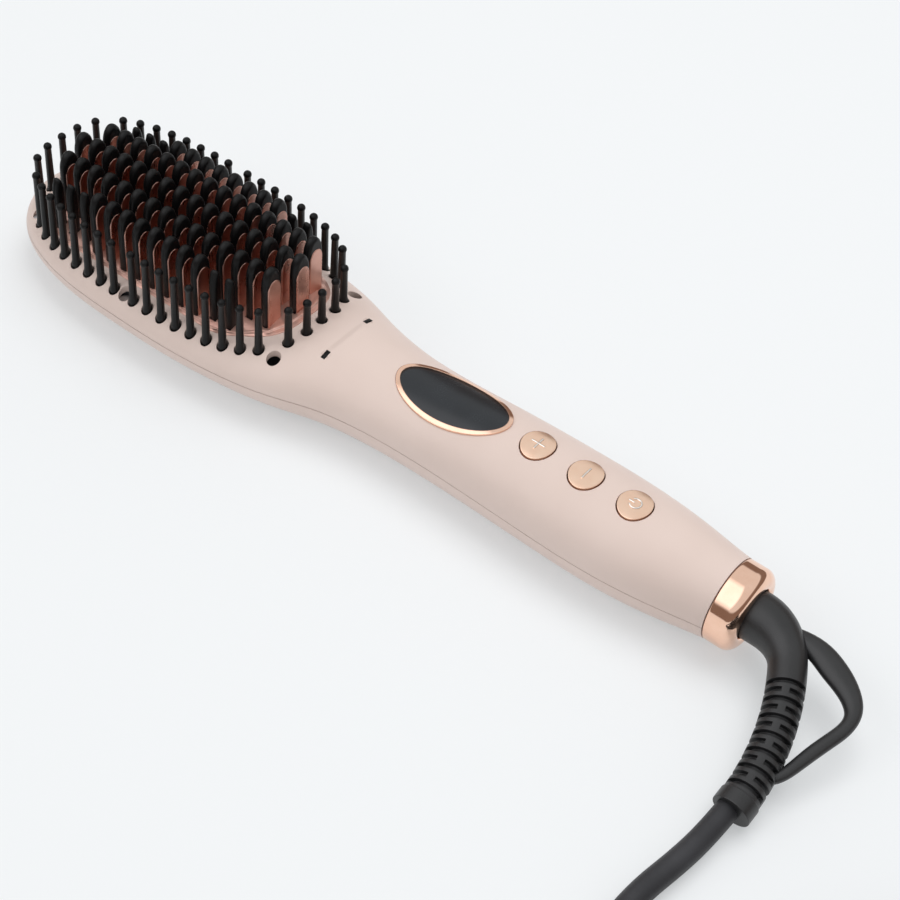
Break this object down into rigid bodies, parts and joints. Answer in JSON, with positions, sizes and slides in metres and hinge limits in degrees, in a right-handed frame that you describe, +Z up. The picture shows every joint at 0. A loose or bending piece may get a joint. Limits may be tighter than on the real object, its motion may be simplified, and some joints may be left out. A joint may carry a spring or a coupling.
{
  "type": "heated styling brush",
  "caption": "Paddle hair-straightening brush with hooded heating fins in a ring of guard pins, a display, push buttons and a swivelling mains cord with a hanging loop.",
  "frame": {"origin": "on the surface the brush lies on, under the middle of the body without its cord", "axes": "+X from the head to the cord end, +Y across to the brush's left, +Z up towards the fins"},
  "size_m": [0.4336, 0.1696, 0.046],
  "materials": {
    "body": "fine matt soft-touch moulding",
    "fin_metal": "satin rose-copper coating",
    "hood_plastic": "satin heat-resistant moulding",
    "heater": "plain ceramic plate",
    "insulation": "soft fibre pad",
    "steel": "plain",
    "electronics": "plain",
    "board": "solder mask",
    "rose_trim": "bright metal plating",
    "lens": "smoked window",
    "inner_plastic": "plain moulding",
    "rubber": "fine matt grain",
    "plug_metal": "nickel plate"
  },
  "bodies": {
    "brush": {"upper_shell": "body", "lower_shell": "body", "heating_plate": "fin_metal", "heating_fins": "fin_metal", "fin_hoods": "hood_plastic", "bristle_pins": "hood_plastic", "bristle_carrier": "hood_plastic", "ceramic_heater": "heater", "insulation_pad": "insulation", "thermal_fuse": "steel", "temperature_sensor": "electronics", "head_screws": "steel", "ion_needles": "steel", "ion_generator": "electronics", "display_bezel": "rose_trim", "display_lens": "lens", "display_module": "electronics", "control_board": "board", "board_screws": "steel", "tact_switches": "electronics", "end_collar": "rose_trim", "swivel_bearing": "inner_plastic"},
    "heat_up": {"heat_up_button": "rose_trim", "heat_up_plunger": "electronics"},
    "heat_down": {"heat_down_button": "rose_trim", "heat_down_plunger": "electronics"},
    "power": {"power_button": "rose_trim", "power_plunger": "electronics"},
    "cord_end": {"swivel_spindle": "inner_plastic", "strain_relief": "rubber", "hang_loop": "rubber", "cord": "rubber", "cord_coil": "rubber", "cord_tie": "inner_plastic", "plug_body": "rubber", "plug_pins": "plug_metal"}
  },
  "joints": [
    {"name": "heat_up_press", "type": "slide", "parent": "brush", "child": "heat_up", "axis": [0, 0, -1], "range_m": [0, 0.0003], "stiffness_N_per_m": 800},
    {"name": "heat_down_press", "type": "slide", "parent": "brush", "child": "heat_down", "axis": [0, 0, -1], "range_m": [0, 0.0003], "stiffness_N_per_m": 800},
    {"name": "power_press", "type": "slide", "parent": "brush", "child": "power", "axis": [0, 0, -1], "range_m": [0, 0.0003], "stiffness_N_per_m": 800},
    {"name": "cord_turn", "type": "hinge", "parent": "brush", "child": "cord_end", "pos_m": [0.126, 0, 0.0147], "axis": [1, 0, 0], "continuous": true}
  ]
}
